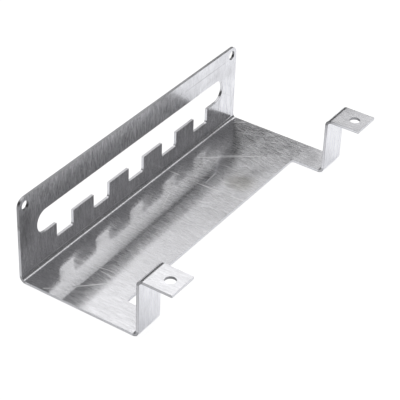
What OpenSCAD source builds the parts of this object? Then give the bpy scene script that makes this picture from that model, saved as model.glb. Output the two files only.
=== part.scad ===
// Indexing plate: one sheet of steel, cut to outline and folded. A tall wall carries a long slot
// whose lower edge is cut into a row of square notches. The base is folded off the wall's foot, and
// at each end it runs on as an arm, which rises as a strut and turns outward as a drilled tab.
// X runs along the wall, +Y points out through the wall's back, -Y towards the tabs, +Z is up.
// The origin is the middle of the underside of the overall box.

/* [Sheet] */
// Thickness of the sheet
sheet_t = 1.6; // [1.2:0.1:2.2]
// Inner radius of every fold
fold_r = 2; // [1:0.25:3]

/* [Wall] */
// Length of the wall and of the base, end to end
plate_l = 200; // [170:1:260]
// Height of the wall's top edge over the underside of the base
wall_h = 51.5; // [46:0.5:70]
// Radius of the wall's two top corners
wall_corner_r = 5; // [3:0.5:8]

/* [Slot in the wall] */
// Distance from each end of the wall to the slot
slot_end_gap = 13.6; // [12:0.2:25]
// Height of the slot, which is also the width of its round ends
slot_h = 14.4; // [11:0.2:15]
// Height of the slot's lower edge over the underside of the base
slot_z = 21.2; // [18:0.2:24]

/* [Notches below the slot] */
// Distance from one notch to the next, centre to centre
notch_pitch = 31.8; // [24:0.2:40]
// Width of a notch
notch_w = 14.2; // [8:0.2:18]
// Depth of a notch below the slot's lower edge
notch_d = 9.2; // [5:0.2:12]
// Least straight land left between a notch and the slot's round end
notch_land = 4; // [2:0.5:8]
// Radius in the two lower corners of a notch
notch_corner_r = 1.5; // [0.5:0.25:3]

/* [Base and arms] */
// Depth of the base from the wall's outer face to its front edge between the arms
base_d = 55.2; // [40:0.2:65]
// Width of an arm, and of the strut and the tab that continue it
arm_w = 18.6; // [14:0.2:26]
// Distance from the wall's outer face to the struts' outer face
arm_reach = 76.4; // [72:0.2:100]
// Radius in the two inner corners between the base's front edge and the arms
arm_corner_r = 1.5; // [0.5:0.25:4]

/* [Tabs] */
// Height of the tabs' upper face over the underside of the base
tab_h = 36.8; // [25:0.2:45]
// Distance from the struts' outer face to the tabs' free edge
tab_reach = 19.6; // [16:0.2:30]

/* [Holes] */
// Diameter of the hole in each top corner of the wall
wall_hole_d = 5.6; // [3:0.1:6.5]
// Distance of each wall hole's centre from the wall's end and from its top edge
wall_hole_edge = 5; // [4.5:0.1:7]
// Diameter of the hole in each tab
tab_hole_d = 6.2; // [3:0.1:8]
// Distance of each tab hole's centre from the tab's free edge
tab_hole_edge = 7.5; // [6:0.1:9]

/* [Hidden] */
$fn = 96;

// How far a cutting shape runs on past the face that it leaves
clear = 2;
// Overall depth, and the planes across it
overall_d = arm_reach + tab_reach;
wall_back_y = overall_d / 2;
base_front_y = wall_back_y - base_d;
strut_front_y = wall_back_y - arm_reach;
tab_edge_y = wall_back_y - overall_d;
// Distance from a fold's outer faces to its centre
fold_out = sheet_t + fold_r;
// Slot from end to end, its straight stretch, and the row of notches that the stretch has room for
slot_l = plate_l - 2 * slot_end_gap;
slot_straight = slot_l - slot_h;
notch_n = floor((slot_straight - 2 * notch_land - notch_w) / notch_pitch) + 1;
notch_first_x = -(notch_n - 1) * notch_pitch / 2;

// The sliver that a radius takes off a square corner, with the corner at the origin and the
// material towards +X and +Y
module corner_sliver(r) {
    difference() {
        translate([-clear, -clear]) square(r + clear);
        translate([r, r]) circle(r);
    }
}

// A quarter of the fold's ring around the origin, in the quadrant that the two signs name
module fold_section(sx, sy) {
    intersection() {
        difference() {
            circle(fold_out);
            circle(fold_r);
        }
        translate([min(sx, 0) * fold_out, min(sy, 0) * fold_out]) square(fold_out);
    }
}

// The folded sheet seen from its end: wall, base with arm, strut and tab, and the three folds
module side_section() {
    strut_fold_y = strut_front_y + fold_out;
    wall_fold_y = wall_back_y - fold_out;
    tab_fold_y = strut_front_y - fold_r;
    tab_fold_z = tab_h - fold_out;
    // wall
    translate([wall_back_y - sheet_t, fold_out]) square([sheet_t, wall_h - fold_out]);
    translate([wall_fold_y, fold_out]) fold_section(1, -1);
    // base, and the arm that continues it
    translate([strut_fold_y, 0]) square([wall_fold_y - strut_fold_y, sheet_t]);
    translate([strut_fold_y, fold_out]) fold_section(-1, -1);
    // strut
    translate([strut_front_y, fold_out]) square([sheet_t, tab_fold_z - fold_out]);
    translate([tab_fold_y, tab_fold_z]) fold_section(1, 1);
    // tab
    translate([tab_edge_y, tab_h - sheet_t]) square([tab_fold_y - tab_edge_y, sheet_t]);
}

// Outline of one notch, centred on X, from its floor up into the slot
module notch_outline() {
    difference() {
        translate([-notch_w / 2, -notch_d]) square([notch_w, notch_d + slot_h / 2]);
        for (side = [-1, 1])
            translate([side * notch_w / 2, -notch_d])
                mirror([side > 0 ? 1 : 0, 0])
                    corner_sliver(notch_corner_r);
    }
}

// Outline of the slot with its row of notches, as seen from the front, X by Z
module slot_outline() {
    translate([0, slot_z + slot_h / 2]) {
        square([slot_straight, slot_h], center = true);
        for (side = [-1, 1])
            translate([side * slot_straight / 2, 0]) circle(d = slot_h);
    }
    for (i = [0 : notch_n - 1])
        translate([notch_first_x + i * notch_pitch, slot_z]) notch_outline();
}

// Everything that is cut through the wall: the notched slot, the corner holes and the round corners
module wall_cuts() {
    translate([0, wall_back_y + clear, 0])
        rotate([90, 0, 0]) {
            linear_extrude(sheet_t + 2 * clear) slot_outline();
            for (side = [-1, 1])
                translate([side * plate_l / 2, wall_h, 0])
                    rotate([0, 0, 180])
                        mirror([side < 0 ? 1 : 0, 0, 0]) {
                            translate([wall_hole_edge, wall_hole_edge, 0])
                                cylinder(h = sheet_t + 2 * clear, d = wall_hole_d);
                            linear_extrude(sheet_t + 2 * clear) corner_sliver(wall_corner_r);
                        }
        }
}

// The opening between the two arms, cut down through base, struts and tabs
module arm_gap_cut() {
    gap_w = plate_l - 2 * arm_w;
    gap_d = base_front_y - tab_edge_y + clear;
    translate([0, base_front_y, -clear])
        linear_extrude(tab_h + 2 * clear)
            difference() {
                translate([-gap_w / 2, -gap_d]) square([gap_w, gap_d]);
                for (side = [-1, 1])
                    translate([side * gap_w / 2, 0])
                        rotate([0, 0, 180])
                            mirror([side < 0 ? 1 : 0, 0])
                                corner_sliver(arm_corner_r);
            }
}

// The hole through each tab
module tab_hole_cuts() {
    for (side = [-1, 1])
        translate([side * (plate_l - arm_w) / 2, tab_edge_y + tab_hole_edge, tab_h - sheet_t - clear])
            cylinder(h = sheet_t + 2 * clear, d = tab_hole_d);
}

// The whole folded sheet
module indexing_plate() {
    color("silver")
        difference() {
            rotate([90, 0, 90]) linear_extrude(plate_l, center = true) side_section();
            wall_cuts();
            arm_gap_cut();
            tab_hole_cuts();
        }
}

indexing_plate();
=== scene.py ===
"""Indexing plate: one sheet of brushed steel, cut to outline and folded, on a white studio floor."""

import math

import bpy
from mathutils import Matrix, Vector

MM = 0.001
PLATE = "indexing_plate"

# The camera, as solved from the photograph. Azimuth 0 looks along +Y, and the roll leans the view left.
VIEW_AZIMUTH = -57.02
VIEW_ELEVATION = 35.366
VIEW_ROLL = 2.258
VIEW_DISTANCE = 813.33 * MM
VIEW_TARGET = Vector((-6.793, -1.241, 20.0)) * MM
FRAME_PX = 400
FOCAL_PX = 1503.8
SENSOR_MM = 36.0

# The studio: a soft panel overhead, a white card low on the right and a dim one in front, in a dim room.
# Their edges are given as slopes, as on a plane one unit above the part, and each edge fades from the
# first number to the second. The panel dims towards the point straight above the part.
PANEL_LEVEL = 1.41
PANEL_OVERHEAD = (0.1, 0.34, 0.66, 1.0)
PANEL_LEFT = (-0.775, -0.542)
PANEL_RIGHT = (1.13, 1.01)
PANEL_FRONT = (-0.425, -0.37)
PANEL_BACK = (1.27, 0.708)
CARD_LEVEL = 0.98
CARD_LEFT = (0.86, 1.1)
CARD_RIGHT = (3.0, 2.4)
CARD_FRONT = (-0.32, 0.03)
CARD_BACK = (0.767, 0.632)
FRONT_CARD_LEVEL = 0.208
FRONT_CARD_NEAR = (-1.1, -0.95)
FRONT_CARD_FAR = (-0.58, -0.66)
ROOM_FRONT_LEVEL = 0.18
ROOM_BACK_LEVEL = 0.079
ROOM_TURN = (-0.4, 0.4)
LOW_FRONT_SHARE = 0.6
LOW_FRONT_RISE = (0.5, 0.3)
LOW_FRONT_REACH = (-0.3, -0.5)
HORIZON_SINE = 0.05

# The floor: its own size and paint, what the camera sees of it, and what the steel mirrors of it. The glow
# that the steel mirrors has a painted shade towards the left.
FLOOR_SIZE = 8.0
FLOOR_SEEN_ALBEDO = 0.3
FLOOR_ALBEDO = 0.85
FLOOR_WHITE = 0.9
PLAIN_WHITE = (1.0, 1.0, 1.0, 1.0)
COOL_WHITE = (0.975, 0.99, 1.02, 1.0)
FLOOR_MIRRORED = 0.57
FLOOR_LEFT_PAINTED_SHADE_SHARE = 0.224
FLOOR_PAINTED_SHADE_FALL_OFF = (-150 * MM, -55 * MM)

# The folded sheet in profile, in mm: where the folds are centred, then the flats and the folds. A flat has
# its own axis and its middle on it, then the other axis and where the flat runs from and to, which is past
# the sheet's end where it has one. A fold has its centre and the side of it where the sheet turns.
SHEET = 1.6
BASE_TOP = 1.6
WALL_FACE = 46.4
FOLD_MIDDLE = 2.8
WALL_FOLD = 44.4
STRUT_FOLD = -24.8
TAB_FOLD = -30.4
LOW_FOLDS = 3.6
HIGH_FOLD = 33.2
FLATS = [
    ("Y", 47.2, "Z", LOW_FOLDS, 60.0),
    ("Z", 0.8, "Y", STRUT_FOLD, WALL_FOLD),
    ("Y", -27.6, "Z", LOW_FOLDS, HIGH_FOLD),
    ("Z", 36.0, "Y", -60.0, TAB_FOLD),
]
FOLDS = [(WALL_FOLD, LOW_FOLDS, 1, -1), (STRUT_FOLD, LOW_FOLDS, -1, -1), (TAB_FOLD, HIGH_FOLD, 1, 1)]
EDGE_DEPTH = (0.04 * MM, 0.08 * MM)
ARRIS_DEPTH = (0.3 * MM, 0.15 * MM)

# Each pair of drilled holes, in mm, whose walls get a painted shade: how far their centres are from the
# wall's middle, the other axis across the hole's face with the centre's place on it, and a radius just
# outside the hole's wall.
HOLES = [(90.7, "Y", -40.5, 3.2), (95.0, "Z", 46.5, 2.9)]
# The slot's upper edge, painted dark as shade: its height and how far the painted shade reaches from it.
SLOT_TOP = 35.6
SLOT_TOP_REACH = 0.2

# The brushing: width, length and detail of each kind of streak. The noise behind them mostly lies in
# NOISE_SPREAD.
WIDE_STREAKS = (0.7 * MM, 8 * MM, 1.0)
FINE_STREAKS = (0.08 * MM, 5 * MM, 1.0)
DASHES = (1.1 * MM, 6 * MM, 2.0)
MOTTLES = (0.5 * MM, 0.5 * MM, 2.0)
NOISE_SPREAD = (0.3, 0.7)
GRAIN_ROUGHNESS = 0.6
WIDE_STREAK_SHARE = 0.08
STREAK_SHADE = 0.9
DASH_RANGE = (0.45, 0.7)
DASH_STRENGTH = 0.1

# The broader brushing of the wall below its slot: its streaks, where their noise mostly lies, how much they
# darken or lighten the steel, and the heights between which they set in. On average they also paint the
# lower wall lighter, a painted light.
WALL_STREAKS = (1.6 * MM, 12 * MM, 2.0)
WALL_STREAK_SPREAD = (0.35, 0.65)
WALL_STREAK_AND_PAINTED_LIGHT = (0.92, 1.14)
WALL_STREAK_FADE = (30 * MM, 25 * MM)

# The steel itself: its colour, how far the brushing spreads a reflection, and its smooth and rough streaks.
STEEL = (0.85, 0.848, 0.875, 1.0)
ANISOTROPY = 0.906
ACROSS_GRAIN = 0.25
MIRROR_STREAKS_END = 0.532
STREAK_STEP = 0.03
SMOOTH_STREAK = 0.12
ROUGH_STREAK = 0.276

# The sheet's shape as a dent or lean that only its reflections show: heights and spans, and slopes that
# change along X from the third number to the fourth.
BUCKLE_SPAN = 55 * MM
BUCKLE = 0.22 * MM
RIPPLE_SPAN = 14 * MM
RIPPLE = 0.016 * MM
LEAN_RISE = (-110 * MM, -10 * MM, -0.0051, 0.0114)
LEAN_FALL = (35 * MM, 80 * MM, 0.0, -0.021)
LEAN_FRONT = -8 * MM
LEAN_CENTRE = 20 * MM
CURL_LEFT = (-75 * MM, 118 * MM, -0.0284, 0)
CURL_RISE = (60 * MM, 90 * MM, 0.0, -0.03)
TAB_LEAN = (-60 * MM, 60 * MM, 0.04, 0.013)
TAB_START = TAB_FOLD * MM

# Stains from handling, which grow stronger along X, and one thumb mark.
STAIN_SHADE = 0.89
STAIN_SPAN = 16 * MM
STAIN_COVER = 0.5
STAIN_GROWTH = (10 * MM, 60 * MM, 0.25, 1.0)
STAIN_BORDER = 0.12
STAIN_DETAIL = 3.0
STAIN_ROUGHNESS = 0.55
THUMB_MARK = (43 * MM, 4 * MM, BASE_TOP * MM)
THUMB_EDGE = (15 * MM, 6 * MM)
THUMB_RAGGED = 6 * MM
SMUDGED_STEEL = (0.65, 0.64, 0.63, 1.0)

# The cut edges: mottled, darker on the rounded arris and at the folds, and darkest on the drilled holes'
# walls and the slot's upper edge, which is painted shade.
EDGE_SHADE = (0.8, 1.0)
ARRIS_SHADE = 0.35
FOLD_EDGE_SHADE = 0.6
PAINTED_EDGE_SHADE_LEVEL = 0.4
EDGE_ROUGHNESS = 0.3

# Scratches bare the steel and turn it matt.
BRIGHT_SCRATCH = (0.96, 0.96, 0.97, 1.0)
SCRATCH_MATT = 0.7
SCRATCH_ROUGHNESS = 0.65
SCRATCH_TAPER = 0.4

# Fields of stray hairline scratches: their angle on the unfolded sheet in degrees, the length and width of
# a cell in mm, and the share of cells that have one. In its cell a line keeps clear of the sides.
HAIRLINE_FIELDS = [
    (20, 24, 5, 0.22),
    (-38, 20, 4, 0.2),
    (64, 28, 5, 0.22),
    (-72, 18, 4, 0.25),
    (8, 15, 6, 0.15),
]
HAIRLINE_WIDTH = 0.16 * MM
HAIRLINE_STRENGTH = 0.45
HAIRLINE_MARGIN = 0.3
HAIRLINE_PLAY = 0.4
HAIRLINE_SLANT = 0.9
HAIRLINE_ENDS = (0.5, 0.2)
HAIRLINE_FAINTEST = 0.3
ANGLE_SEED = 7.0

# Scribed and scratched marks that the photograph shows: start and end on the base or the wall, and half the
# width, all in mm, then the strength.
MARKS = [
    ((28.4, 45.0, BASE_TOP), (28.4, 35.8, BASE_TOP), 0.45, 1.0),
    ((27.8, 24.5, BASE_TOP), (28.3, 8.0, BASE_TOP), 0.5, 1.0),
    ((28.5, 1.6, BASE_TOP), (28.9, -7.4, BASE_TOP), 0.5, 1.0),
    ((30.2, WALL_FACE, 3.5), (30.2, WALL_FACE, 9.0), 0.35, 0.7),
    ((-68.9, 38.0, BASE_TOP), (-68.4, 29.5, BASE_TOP), 0.35, 0.7),
    ((-69.6, 19.0, BASE_TOP), (-70.0, 9.5, BASE_TOP), 0.35, 0.7),
    ((-67.9, 26.1, BASE_TOP), (-66.4, 12.7, BASE_TOP), 0.4, 0.85),
    ((-9.0, 17.0, BASE_TOP), (-9.7, 7.8, BASE_TOP), 0.3, 0.5),
    ((47.2, 41.2, BASE_TOP), (73.3, 8.6, BASE_TOP), 0.38, 0.95),
    ((57.6, 30.0, BASE_TOP), (66.6, 18.6, BASE_TOP), 0.5, 1.0),
    ((30.6, 19.9, BASE_TOP), (44.0, 20.8, BASE_TOP), 0.35, 0.7),
    ((93.4, 43.2, BASE_TOP), (98.6, 36.5, BASE_TOP), 0.42, 1.0),
    ((-99.0, 33.7, BASE_TOP), (-94.6, 28.2, BASE_TOP), 0.55, 1.0),
    ((-89.0, 22.3, BASE_TOP), (-76.6, 9.9, BASE_TOP), 0.62, 1.0),
    ((-37.9, 10.9, BASE_TOP), (-42.7, -1.8, BASE_TOP), 0.3, 0.45),
    ((-40.9, -2.6, BASE_TOP), (-26.6, -2.6, BASE_TOP), 0.3, 0.45),
    ((-99.0, WALL_FACE, 4.0), (-20.0, WALL_FACE, 4.0), 0.6, 1.0),
    ((-45.0, WALL_FACE, 4.0), (38.0, WALL_FACE, 4.0), 0.5, 0.8),
]

# Dull lines and smudges, given in the same way, some of which are painted shade; each darkens the steel's
# colour.
DULL_MARKS_AND_PAINTED_SHADE = [
    ((46.0, WALL_FACE, 44.6), (91.5, WALL_FACE, 44.6), 0.4, 0.35),
    ((90.0, WALL_FACE, 33.0), (96.0, WALL_FACE, 38.5), 5.0, 0.12),
    ((62.0, WALL_FACE, 38.0), (84.0, WALL_FACE, 40.5), 3.0, 0.1),
    ((-98.0, WALL_FACE, 20.0), (-94.0, WALL_FACE, 44.0), 9.0, 0.34),
    # Painted shade: a broad band that darkens the wall's upper strip.
    ((-98.0, WALL_FACE, 43.0), (34.0, WALL_FACE, 43.0), 10.0, 0.16),
    ((40.0, 5.0, BASE_TOP), (68.0, 1.0, BASE_TOP), 7.5, 0.24),
    ((87.0, -16.0, BASE_TOP), (94.0, -15.0, BASE_TOP), 4.5, 0.2),
    # Painted shade: a line along the base that stands in for a dark reflection band near the wall.
    ((-48.0, 20.2, BASE_TOP), (62.0, 23.2, BASE_TOP), 1.8, 0.18),
    # Painted shade: a patch near the base's far end that stands in for a dark reflection.
    ((84.0, 33.5, BASE_TOP), (58.0, 17.0, BASE_TOP), 4.5, 0.16),
]


def add(tree, kind, **settings):
    """Places a node in a tree and sets its plain settings."""
    made = tree.nodes.new(kind)
    for name, value in settings.items():
        setattr(made, name, value)
    return made


def feed(tree, socket, value):
    """Gives a socket a link or a plain value."""
    if isinstance(value, bpy.types.NodeSocket):
        tree.links.new(value, socket)
    else:
        socket.default_value = value


def calc(tree, operation, *values, clamp=False):
    """One step of arithmetic on numbers or sockets."""
    step = add(tree, "ShaderNodeMath", operation=operation, use_clamp=clamp)
    for socket, value in zip(step.inputs, values):
        feed(tree, socket, value)
    return step.outputs[0]


def plus(tree, first, second):
    """The sum of two numbers or sockets."""
    return calc(tree, "ADD", first, second)


def minus(tree, first, second):
    """The first number or socket less the second."""
    return calc(tree, "SUBTRACT", first, second)


def times(tree, first, second):
    """The product of two numbers or sockets."""
    return calc(tree, "MULTIPLY", first, second)


def larger(tree, first, second):
    """The larger of two numbers or sockets."""
    return calc(tree, "MAXIMUM", first, second)


def apart(tree, first, second):
    """How far two numbers or sockets are apart."""
    return calc(tree, "ABSOLUTE", minus(tree, first, second))


def long_side(tree, first, second):
    """The long side of a right triangle with the two given sides."""
    square = plus(tree, times(tree, first, first), times(tree, second, second))
    return calc(tree, "SQRT", square)


def vector_calc(tree, operation, *values):
    """One step of vector arithmetic. The second result is the number that some steps give."""
    step = add(tree, "ShaderNodeVectorMath", operation=operation)
    for socket, value in zip(step.inputs, values):
        feed(tree, socket, value)
    return step.outputs[0], step.outputs[1]


def split(tree, vector):
    """The X, Y and Z of a vector."""
    parts = add(tree, "ShaderNodeSeparateXYZ")
    feed(tree, parts.inputs[0], vector)
    return parts.outputs


def join(tree, x, y, z):
    """A vector of three numbers or sockets."""
    parts = add(tree, "ShaderNodeCombineXYZ")
    for socket, value in zip(parts.inputs, (x, y, z)):
        feed(tree, socket, value)
    return parts.outputs[0]


def ramp(tree, value, start, end, low=0.0, high=1.0):
    """A smooth change from low at start to high at end."""
    step = add(tree, "ShaderNodeMapRange", interpolation_type="SMOOTHSTEP")
    for socket, number in zip(step.inputs[:5], (value, start, end, low, high)):
        feed(tree, socket, number)
    return step.outputs[0]


def blend(tree, share, first, second):
    """A number between first and second."""
    step = add(tree, "ShaderNodeMix", data_type="FLOAT")
    for socket, value in zip((step.inputs[0], step.inputs[2], step.inputs[3]), (share, first, second)):
        feed(tree, socket, value)
    return step.outputs[0]


def blend_colour(tree, share, first, second):
    """A colour between first and second."""
    step = add(tree, "ShaderNodeMix", data_type="RGBA")
    for socket, value in zip((step.inputs[0], step.inputs[6], step.inputs[7]), (share, first, second)):
        feed(tree, socket, value)
    return step.outputs[2]


def noise(tree, place, detail, roughness=None):
    """Soft noise at a place given in units of its own size."""
    texture = add(tree, "ShaderNodeTexNoise", noise_dimensions="3D")
    feed(tree, texture.inputs["Vector"], place)
    feed(tree, texture.inputs["Scale"], 1.0)
    feed(tree, texture.inputs["Detail"], detail)
    if roughness is not None:
        feed(tree, texture.inputs["Roughness"], roughness)
    return texture.outputs[0]


def new_group(name, inputs, outputs):
    """Makes an empty shader node group. Returns it with the sockets that it is given and that it gives."""
    group = bpy.data.node_groups.new(name, "ShaderNodeTree")
    for label, kind, value in inputs:
        socket = group.interface.new_socket(label, in_out="INPUT", socket_type=kind)
        if value is not None:
            socket.default_value = value
    for label, kind in outputs:
        group.interface.new_socket(label, in_out="OUTPUT", socket_type=kind)
    source = group.nodes.new("NodeGroupInput")
    result = group.nodes.new("NodeGroupOutput")
    return group, source.outputs, result.inputs


def place_group(tree, group, **values):
    """Places a group in a tree. An underscore in a value's name stands for a space in the socket's."""
    placed = add(tree, "ShaderNodeGroup", node_tree=group)
    for name, value in values.items():
        feed(tree, placed.inputs[name.replace("_", " ")], value)
    return placed.outputs


def brush_grain_group():
    """Streaks of the brushing, which run across the folds: fine along X, long along the sheet."""
    inputs = [
        ("Position", "NodeSocketVector", None),
        ("Width", "NodeSocketFloat", 0.3 * MM),
        ("Length", "NodeSocketFloat", 12 * MM),
        ("Detail", "NodeSocketFloat", 2.0),
    ]
    group, given, result = new_group("Brush Grain", inputs, [("Streak", "NodeSocketFloat")])
    across = calc(group, "DIVIDE", 1.0, given["Width"])
    along = calc(group, "DIVIDE", 1.0, given["Length"])
    place, _ = vector_calc(group, "MULTIPLY", given["Position"], join(group, across, along, along))
    feed(group, result["Streak"], noise(group, place, given["Detail"], GRAIN_ROUGHNESS))
    return group


def mark_group():
    """One straight mark between two points, which thins out at its ends."""
    inputs = [
        ("Position", "NodeSocketVector", None),
        ("Start", "NodeSocketVector", None),
        ("End", "NodeSocketVector", None),
        ("Width", "NodeSocketFloat", 0.3 * MM),
        ("Strength", "NodeSocketFloat", 1.0),
    ]
    group, given, result = new_group("Straight Mark", inputs, [("Mark", "NodeSocketFloat")])
    run, _ = vector_calc(group, "SUBTRACT", given["End"], given["Start"])
    reach, _ = vector_calc(group, "SUBTRACT", given["Position"], given["Start"])
    _, dot = vector_calc(group, "DOT_PRODUCT", reach, run)
    _, square = vector_calc(group, "DOT_PRODUCT", run, run)
    share = calc(group, "DIVIDE", dot, square, clamp=True)
    scaled = add(group, "ShaderNodeVectorMath", operation="SCALE")
    feed(group, scaled.inputs[0], run)
    feed(group, scaled.inputs["Scale"], share)
    _, distance = vector_calc(group, "DISTANCE", reach, scaled.outputs["Vector"])
    line = ramp(group, distance, given["Width"], 0.0)
    turn = calc(group, "SINE", times(group, share, math.pi))
    taper = calc(group, "POWER", larger(group, turn, 0.0), SCRATCH_TAPER)
    feed(group, result["Mark"], times(group, line, times(group, taper, given["Strength"])))
    return group


def hairline_group():
    """Thin scratches at about one angle, one to a cell of the unfolded sheet and missing from most."""
    inputs = [
        ("Position", "NodeSocketVector", None),
        ("Angle", "NodeSocketFloat", 0.0),
        ("Cell Length", "NodeSocketFloat", 20 * MM),
        ("Cell Width", "NodeSocketFloat", 4 * MM),
        ("Line Width", "NodeSocketFloat", 0.2 * MM),
        ("Share", "NodeSocketFloat", 0.3),
    ]
    group, given, result = new_group("Hairline Scratches", inputs, [("Mark", "NodeSocketFloat")])
    place = split(group, given["Position"])
    unfolded = plus(group, place["Y"], place["Z"])
    cosine = calc(group, "COSINE", given["Angle"])
    sine = calc(group, "SINE", given["Angle"])
    along = plus(group, times(group, place["X"], cosine), times(group, unfolded, sine))
    across = minus(group, times(group, unfolded, cosine), times(group, place["X"], sine))
    across = calc(group, "DIVIDE", across, given["Cell Width"])
    row = calc(group, "FLOOR", across)
    row_chance = add(group, "ShaderNodeTexWhiteNoise", noise_dimensions="1D")
    feed(group, row_chance.inputs["W"], plus(group, row, times(group, given["Angle"], ANGLE_SEED)))
    along = calc(group, "DIVIDE", along, given["Cell Length"])
    along = plus(group, along, row_chance.outputs["Value"])
    column = calc(group, "FLOOR", along)
    along = calc(group, "FRACT", along)
    across = calc(group, "FRACT", across)
    chance = add(group, "ShaderNodeTexWhiteNoise", noise_dimensions="3D")
    feed(group, chance.inputs["Vector"], join(group, row, column, given["Angle"]))
    shares = add(group, "ShaderNodeSeparateColor")
    feed(group, shares.inputs[0], chance.outputs["Color"])
    present = calc(group, "LESS_THAN", chance.outputs["Value"], given["Share"])
    middle = plus(group, times(group, shares.outputs[0], HAIRLINE_PLAY), HAIRLINE_MARGIN)
    slant = times(group, minus(group, shares.outputs[1], 0.5), HAIRLINE_SLANT)
    centre = plus(group, middle, times(group, slant, minus(group, along, 0.5)))
    distance = times(group, apart(group, across, centre), given["Cell Width"])
    line = ramp(group, distance, given["Line Width"], 0.0)
    ends = ramp(group, apart(group, along, 0.5), *HAIRLINE_ENDS)
    strength = plus(group, times(group, shares.outputs[2], 1.0 - HAIRLINE_FAINTEST), HAIRLINE_FAINTEST)
    strength = times(group, present, strength)
    feed(group, result["Mark"], times(group, times(group, line, ends), strength))
    return group


def cut_edge_group():
    """Where the sheet's cut edges are: anywhere deeper than the skin of its faces."""
    outputs = [("Edge", "NodeSocketFloat"), ("Arris", "NodeSocketFloat"), ("Fold", "NodeSocketFloat")]
    group, given, result = new_group("Cut Edge", [("Position", "NodeSocketVector", None)], outputs)
    place = split(group, given["Position"])
    nearest = 1.0
    for axis, middle, other, low, high in FLATS:
        off_middle = apart(group, place[axis], middle * MM)
        before = minus(group, low * MM, place[other])
        after = minus(group, place[other], high * MM)
        outside = larger(group, larger(group, before, after), 0.0)
        nearest = calc(group, "MINIMUM", nearest, plus(group, off_middle, outside))
    in_fold = 0.0
    for centre_y, centre_z, side_y, side_z in FOLDS:
        from_y = times(group, minus(group, place["Y"], centre_y * MM), side_y)
        from_z = times(group, minus(group, place["Z"], centre_z * MM), side_z)
        off_middle = apart(group, long_side(group, from_y, from_z), FOLD_MIDDLE * MM)
        right_of_centre = calc(group, "GREATER_THAN", from_y, 0.0)
        above_centre = calc(group, "GREATER_THAN", from_z, 0.0)
        in_corner = times(group, right_of_centre, above_centre)
        beyond = minus(group, 1.0, in_corner)
        nearest = calc(group, "MINIMUM", nearest, plus(group, off_middle, beyond))
        in_fold = larger(group, in_fold, in_corner)
    depth = minus(group, SHEET / 2 * MM, nearest)
    feed(group, result["Edge"], ramp(group, depth, *EDGE_DEPTH))
    feed(group, result["Arris"], ramp(group, depth, *ARRIS_DEPTH))
    feed(group, result["Fold"], in_fold)
    return group


def painted_shade_edge_group():
    """The cut edges painted dark as shade: the drilled holes' walls and the slot's upper edge."""
    inputs = [("Position", "NodeSocketVector", None)]
    group, given, result = new_group("Painted Shade Edges", inputs, [("Dark", "NodeSocketFloat")])
    place = split(group, given["Position"])
    outward = calc(group, "ABSOLUTE", place["X"])
    dark = 0.0
    for centre, axis, height, radius in HOLES:
        off_x = minus(group, outward, centre * MM)
        off_axis = minus(group, place[axis], height * MM)
        in_hole = calc(group, "LESS_THAN", long_side(group, off_x, off_axis), radius * MM)
        dark = larger(group, dark, in_hole)
    off_slot_top = apart(group, place["Z"], SLOT_TOP * MM)
    slot_top = calc(group, "LESS_THAN", off_slot_top, SLOT_TOP_REACH * MM)
    in_wall = calc(group, "GREATER_THAN", place["Y"], WALL_FACE * MM)
    feed(group, result["Dark"], larger(group, dark, times(group, slot_top, in_wall)))
    return group


def stain_group():
    """Soft patches where hands and cloths have dulled the steel."""
    inputs = [
        ("Position", "NodeSocketVector", None),
        ("Span", "NodeSocketFloat", 10 * MM),
        ("Cover", "NodeSocketFloat", 0.5),
    ]
    group, given, result = new_group("Handling Stains", inputs, [("Mask", "NodeSocketFloat")])
    scaled, _ = vector_calc(group, "DIVIDE", given["Position"], given["Span"])
    patches = noise(group, scaled, STAIN_DETAIL, STAIN_ROUGHNESS)
    edge = minus(group, 1.0, given["Cover"])
    low = minus(group, edge, STAIN_BORDER)
    high = plus(group, edge, STAIN_BORDER)
    feed(group, result["Mask"], ramp(group, patches, low, high))
    return group


def waviness_group():
    """The slight buckle of a folded sheet, as a height in metres."""
    inputs = [
        ("Position", "NodeSocketVector", None),
        ("Span", "NodeSocketFloat", 50 * MM),
        ("Height", "NodeSocketFloat", 0.1 * MM),
    ]
    group, given, result = new_group("Sheet Waviness", inputs, [("Height", "NodeSocketFloat")])
    scaled, _ = vector_calc(group, "DIVIDE", given["Position"], given["Span"])
    feed(group, result["Height"], times(group, noise(group, scaled, 1.0), given["Height"]))
    return group


def streaks(tree, grain, position, width, length, detail):
    """One kind of streak from the brush grain."""
    return place_group(tree, grain, Position=position, Width=width, Length=length, Detail=detail)["Streak"]


def straight_marks(tree, group, position, marks):
    """The strongest at each point of several straight marks."""
    strongest = 0.0
    for start, end, width, strength in marks:
        line = place_group(
            tree,
            group,
            Position=position,
            Start=Vector(start) * MM,
            End=Vector(end) * MM,
            Width=width * MM,
            Strength=strength,
        )["Mark"]
        strongest = larger(tree, strongest, line)
    return strongest


def hairline_fields(tree, position):
    """The strongest at each point of all fields of stray hairline scratches."""
    hairlines = hairline_group()
    strongest = 0.0
    for angle, length, width, share in HAIRLINE_FIELDS:
        field = place_group(
            tree,
            hairlines,
            Position=position,
            Angle=math.radians(angle),
            Cell_Length=length * MM,
            Cell_Width=width * MM,
            Line_Width=HAIRLINE_WIDTH,
            Share=share,
        )["Mark"]
        strongest = larger(tree, strongest, times(tree, field, HAIRLINE_STRENGTH))
    return strongest


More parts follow.
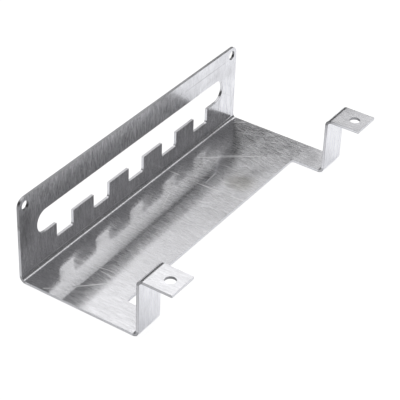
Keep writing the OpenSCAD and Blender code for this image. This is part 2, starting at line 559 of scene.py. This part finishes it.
def sheet_height(tree, position):
    """How far the real sheet stands off a flat one: buckle, ripple and the lean of its flats."""
    waviness = waviness_group()
    buckle = place_group(tree, waviness, Position=position, Span=BUCKLE_SPAN, Height=BUCKLE)["Height"]
    ripple = place_group(tree, waviness, Position=position, Span=RIPPLE_SPAN, Height=RIPPLE)["Height"]
    place = split(tree, position)
    along = place["X"]
    from_centre = minus(tree, larger(tree, place["Y"], LEAN_FRONT), LEAN_CENTRE)
    slope = plus(tree, ramp(tree, along, *LEAN_RISE), ramp(tree, along, *LEAN_FALL))
    lean = times(tree, from_centre, slope)
    curl_slope = plus(tree, ramp(tree, along, *CURL_LEFT), ramp(tree, along, *CURL_RISE))
    curl = times(tree, larger(tree, from_centre, 0.0), curl_slope)
    past_fold = calc(tree, "MINIMUM", minus(tree, place["Y"], TAB_START), 0.0)
    tab_lean = times(tree, past_fold, ramp(tree, along, *TAB_LEAN))
    height = plus(tree, plus(tree, buckle, ripple), plus(tree, lean, curl))
    return plus(tree, height, tab_lean)


def thumb_mark(tree, position, ragged):
    """A patch round the thumb mark with a ragged edge."""
    _, distance = vector_calc(tree, "DISTANCE", position, THUMB_MARK)
    return ramp(tree, plus(tree, distance, times(tree, ragged, THUMB_RAGGED)), *THUMB_EDGE)


def edge_shade(tree, position, grain, cut):
    """How dark the cut edges are."""
    mottling = streaks(tree, grain, position, *MOTTLES)
    # Painted shade on the drilled holes' walls and the slot's upper edge.
    painted_edge_shade = place_group(tree, painted_shade_edge_group(), Position=position)["Dark"]
    shade = ramp(tree, mottling, *NOISE_SPREAD, *EDGE_SHADE)
    shade = times(tree, shade, blend(tree, cut["Arris"], 1.0, ARRIS_SHADE))
    shade = times(tree, shade, blend(tree, cut["Fold"], 1.0, FOLD_EDGE_SHADE))
    return times(tree, shade, blend(tree, painted_edge_shade, 1.0, PAINTED_EDGE_SHADE_LEVEL))


def wall_brushing_and_painted_light(tree, position, grain):
    """The broader streaks of the wall below its slot, as a shade that on average also paints the lower wall
    lighter.
    """
    place = split(tree, position)
    on_wall = calc(tree, "GREATER_THAN", place["Y"], WALL_FOLD * MM)
    on_wall = times(tree, on_wall, ramp(tree, place["Z"], *WALL_STREAK_FADE))
    broad = streaks(tree, grain, position, *WALL_STREAKS)
    shade = ramp(tree, broad, *WALL_STREAK_SPREAD, *WALL_STREAK_AND_PAINTED_LIGHT)
    return blend(tree, on_wall, 1.0, shade)


def stain_mask(tree, position, thumb):
    """Where the steel is stained, with the thumb mark."""
    stains = place_group(tree, stain_group(), Position=position, Span=STAIN_SPAN, Cover=STAIN_COVER)["Mask"]
    stains = times(tree, stains, ramp(tree, split(tree, position)["X"], *STAIN_GROWTH))
    return larger(tree, stains, thumb)


def brushed_steel():
    """The sheet's steel: brushed across the folds, scratched, a little wavy, with bare cut edges."""
    material = bpy.data.materials.new("Brushed steel sheet")
    material.use_nodes = True
    tree = material.node_tree
    tree.nodes.clear()
    position = add(tree, "ShaderNodeTexCoord").outputs["Object"]
    grain = brush_grain_group()
    wide = streaks(tree, grain, position, *WIDE_STREAKS)
    fine = streaks(tree, grain, position, *FINE_STREAKS)
    dashes = ramp(tree, streaks(tree, grain, position, *DASHES), *DASH_RANGE, 0.0, DASH_STRENGTH)
    straight = mark_group()
    marks = straight_marks(tree, straight, position, MARKS)
    marks = larger(tree, larger(tree, marks, hairline_fields(tree, position)), dashes)
    dulled_and_painted_shade = straight_marks(tree, straight, position, DULL_MARKS_AND_PAINTED_SHADE)
    cut = place_group(tree, cut_edge_group(), Position=position)
    thumb = thumb_mark(tree, position, wide)

    shade = ramp(tree, wide, *NOISE_SPREAD, STREAK_SHADE, 1.0)
    # The wall's broader streaks, with a painted light that lightens the lower wall on average.
    shade = times(tree, shade, wall_brushing_and_painted_light(tree, position, grain))
    shade = blend(tree, cut["Edge"], shade, edge_shade(tree, position, grain, cut))
    shade = times(tree, shade, blend(tree, stain_mask(tree, position, thumb), 1.0, STAIN_SHADE))
    # The dull marks and the painted shade darken the colour.
    shade = times(tree, shade, minus(tree, 1.0, dulled_and_painted_shade))
    toned = add(tree, "ShaderNodeMix", data_type="RGBA", blend_type="MULTIPLY")
    feed(tree, toned.inputs[0], 1.0)
    feed(tree, toned.inputs[6], blend_colour(tree, thumb, STEEL, SMUDGED_STEEL))
    feed(tree, toned.inputs[7], shade)

    streak_place = times(tree, minus(tree, wide, 0.5), WIDE_STREAK_SHARE)
    streak_place = minus(tree, fine, plus(tree, streak_place, MIRROR_STREAKS_END))
    rough = ramp(tree, streak_place, -STREAK_STEP, STREAK_STEP, SMOOTH_STREAK, ROUGH_STREAK)
    rough = blend(tree, cut["Edge"], rough, EDGE_ROUGHNESS)

    shader = add(tree, "ShaderNodeBsdfPrincipled")
    feed(tree, shader.inputs["Base Color"], blend_colour(tree, marks, toned.outputs[2], BRIGHT_SCRATCH))
    feed(tree, shader.inputs["Metallic"], minus(tree, 1.0, times(tree, marks, SCRATCH_MATT)))
    feed(tree, shader.inputs["Roughness"], blend(tree, marks, rough, SCRATCH_ROUGHNESS))
    shader.inputs["Anisotropic"].default_value = ANISOTROPY
    shader.inputs["Anisotropic Rotation"].default_value = ACROSS_GRAIN
    tangent = add(tree, "ShaderNodeTangent", direction_type="RADIAL", axis="X")
    feed(tree, shader.inputs["Tangent"], tangent.outputs[0])
    bump = add(tree, "ShaderNodeBump")
    feed(tree, bump.inputs["Strength"], 1.0)
    feed(tree, bump.inputs["Distance"], 1.0)
    feed(tree, bump.inputs["Height"], sheet_height(tree, position))
    feed(tree, shader.inputs["Normal"], bump.outputs[0])
    output = add(tree, "ShaderNodeOutputMaterial")
    tree.links.new(shader.outputs[0], output.inputs["Surface"])
    return material


def white_floor_paint():
    """Matt white, which also shows white to the camera and in the steel, where its glow has a painted shade
    towards the left.
    """
    material = bpy.data.materials.new("White floor")
    material.use_nodes = True
    material.cycles.emission_sampling = "NONE"
    tree = material.node_tree
    tree.nodes.clear()
    path = add(tree, "ShaderNodeLightPath")
    by_camera = path.outputs["Is Camera Ray"]
    matt = add(tree, "ShaderNodeBsdfDiffuse")
    feed(tree, matt.inputs["Color"], blend(tree, by_camera, FLOOR_ALBEDO, FLOOR_SEEN_ALBEDO))
    mirrored = larger(tree, path.outputs["Is Glossy Ray"], path.outputs["Is Transmission Ray"])
    # Painted shade: the glow that the steel mirrors falls to a share of its level towards the floor's left.
    sideways = split(tree, add(tree, "ShaderNodeTexCoord").outputs["Object"])["X"]
    painted_shade_left_level = FLOOR_LEFT_PAINTED_SHADE_SHARE * FLOOR_MIRRORED
    mirrored = times(tree, mirrored, ramp(tree, sideways, *FLOOR_PAINTED_SHADE_FALL_OFF, painted_shade_left_level, FLOOR_MIRRORED))
    glow = add(tree, "ShaderNodeEmission")
    feed(tree, glow.inputs["Strength"], plus(tree, times(tree, by_camera, FLOOR_WHITE), mirrored))
    feed(tree, glow.inputs["Color"], blend_colour(tree, by_camera, COOL_WHITE, PLAIN_WHITE))
    both = add(tree, "ShaderNodeAddShader")
    tree.links.new(matt.outputs[0], both.inputs[0])
    tree.links.new(glow.outputs[0], both.inputs[1])
    output = add(tree, "ShaderNodeOutputMaterial")
    tree.links.new(both.outputs[0], output.inputs["Surface"])
    return material


def studio_floor():
    """A white floor that keeps the part's soft shadow."""
    half = FLOOR_SIZE / 2
    corners = [(-half, -half, 0), (half, -half, 0), (half, half, 0), (-half, half, 0)]
    mesh = bpy.data.meshes.new("floor")
    mesh.from_pydata(corners, [], [(0, 1, 2, 3)])
    mesh.materials.append(white_floor_paint())
    floor = bpy.data.objects.new("floor", mesh)
    bpy.context.scene.collection.objects.link(floor)


def between(tree, value, rise, fall):
    """One where a value is past its rise and not yet at its fall."""
    return times(tree, ramp(tree, value, *rise), ramp(tree, value, *fall))


def studio_level(tree, direction):
    """How bright the studio is in a direction."""
    height = direction["Z"]
    above = larger(tree, height, HORIZON_SINE)
    right = calc(tree, "DIVIDE", direction["X"], above)
    away = calc(tree, "DIVIDE", direction["Y"], above)
    panel = between(tree, right, PANEL_LEFT, PANEL_RIGHT)
    panel = times(tree, panel, between(tree, away, PANEL_FRONT, PANEL_BACK))
    panel = times(tree, panel, ramp(tree, height, 0.0, HORIZON_SINE))
    panel_level = times(tree, ramp(tree, away, *PANEL_OVERHEAD), PANEL_LEVEL)
    room = ramp(tree, direction["Y"], *ROOM_TURN, ROOM_FRONT_LEVEL, ROOM_BACK_LEVEL)
    low = ramp(tree, height, *LOW_FRONT_RISE)
    low_front = times(tree, low, ramp(tree, direction["Y"], *LOW_FRONT_REACH))
    room = times(tree, room, blend(tree, low_front, 1.0, LOW_FRONT_SHARE))
    level = blend(tree, panel, room, panel_level)
    card = between(tree, right, CARD_LEFT, CARD_RIGHT)
    card = times(tree, card, between(tree, away, CARD_FRONT, CARD_BACK))
    level = larger(tree, level, times(tree, card, CARD_LEVEL))
    front_card = between(tree, away, FRONT_CARD_NEAR, FRONT_CARD_FAR)
    return larger(tree, level, times(tree, front_card, FRONT_CARD_LEVEL))


def studio_world():
    """The studio's soft light. The camera itself sees plain white."""
    world = bpy.data.worlds.new("Studio")
    bpy.context.scene.world = world
    world.use_nodes = True
    tree = world.node_tree
    tree.nodes.clear()
    direction = split(tree, add(tree, "ShaderNodeTexCoord").outputs["Generated"])
    light = add(tree, "ShaderNodeBackground")
    feed(tree, light.inputs["Color"], PLAIN_WHITE)
    feed(tree, light.inputs["Strength"], studio_level(tree, direction))
    white = add(tree, "ShaderNodeBackground")
    feed(tree, white.inputs["Color"], PLAIN_WHITE)
    mix = add(tree, "ShaderNodeMixShader")
    feed(tree, mix.inputs[0], add(tree, "ShaderNodeLightPath").outputs["Is Camera Ray"])
    tree.links.new(light.outputs[0], mix.inputs[1])
    tree.links.new(white.outputs[0], mix.inputs[2])
    output = add(tree, "ShaderNodeOutputWorld")
    tree.links.new(mix.outputs[0], output.inputs["Surface"])


def photo_camera():
    """The camera at the photograph's own place."""
    azimuth = math.radians(VIEW_AZIMUTH)
    elevation = math.radians(VIEW_ELEVATION)
    roll = math.radians(VIEW_ROLL)
    level_back = Vector((math.sin(azimuth), -math.cos(azimuth), 0.0))
    back = math.cos(elevation) * level_back + math.sin(elevation) * Vector((0.0, 0.0, 1.0))
    level_right = Vector((math.cos(azimuth), math.sin(azimuth), 0.0))
    level_up = back.cross(level_right)
    right = math.cos(roll) * level_right + math.sin(roll) * level_up
    up = math.cos(roll) * level_up - math.sin(roll) * level_right
    data = bpy.data.cameras.new("camera")
    data.sensor_fit = "HORIZONTAL"
    data.sensor_width = SENSOR_MM
    data.lens = SENSOR_MM * FOCAL_PX / FRAME_PX
    camera = bpy.data.objects.new("camera", data)
    bpy.context.scene.collection.objects.link(camera)
    turn = Matrix((right, up, back)).transposed().to_4x4()
    camera.matrix_world = Matrix.Translation(VIEW_TARGET + VIEW_DISTANCE * back) @ turn
    bpy.context.scene.camera = camera


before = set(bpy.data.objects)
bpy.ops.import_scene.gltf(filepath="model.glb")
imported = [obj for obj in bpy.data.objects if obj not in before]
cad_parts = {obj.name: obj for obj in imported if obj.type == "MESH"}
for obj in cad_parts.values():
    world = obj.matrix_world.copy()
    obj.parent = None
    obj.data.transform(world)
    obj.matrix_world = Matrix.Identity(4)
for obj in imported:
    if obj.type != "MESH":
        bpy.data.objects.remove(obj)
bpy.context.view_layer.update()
bpy.context.scene.view_settings.view_transform = "Standard"
photo_camera()
studio_world()
studio_floor()
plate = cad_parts[PLATE]
plate.material_slots[0].material = brushed_steel()
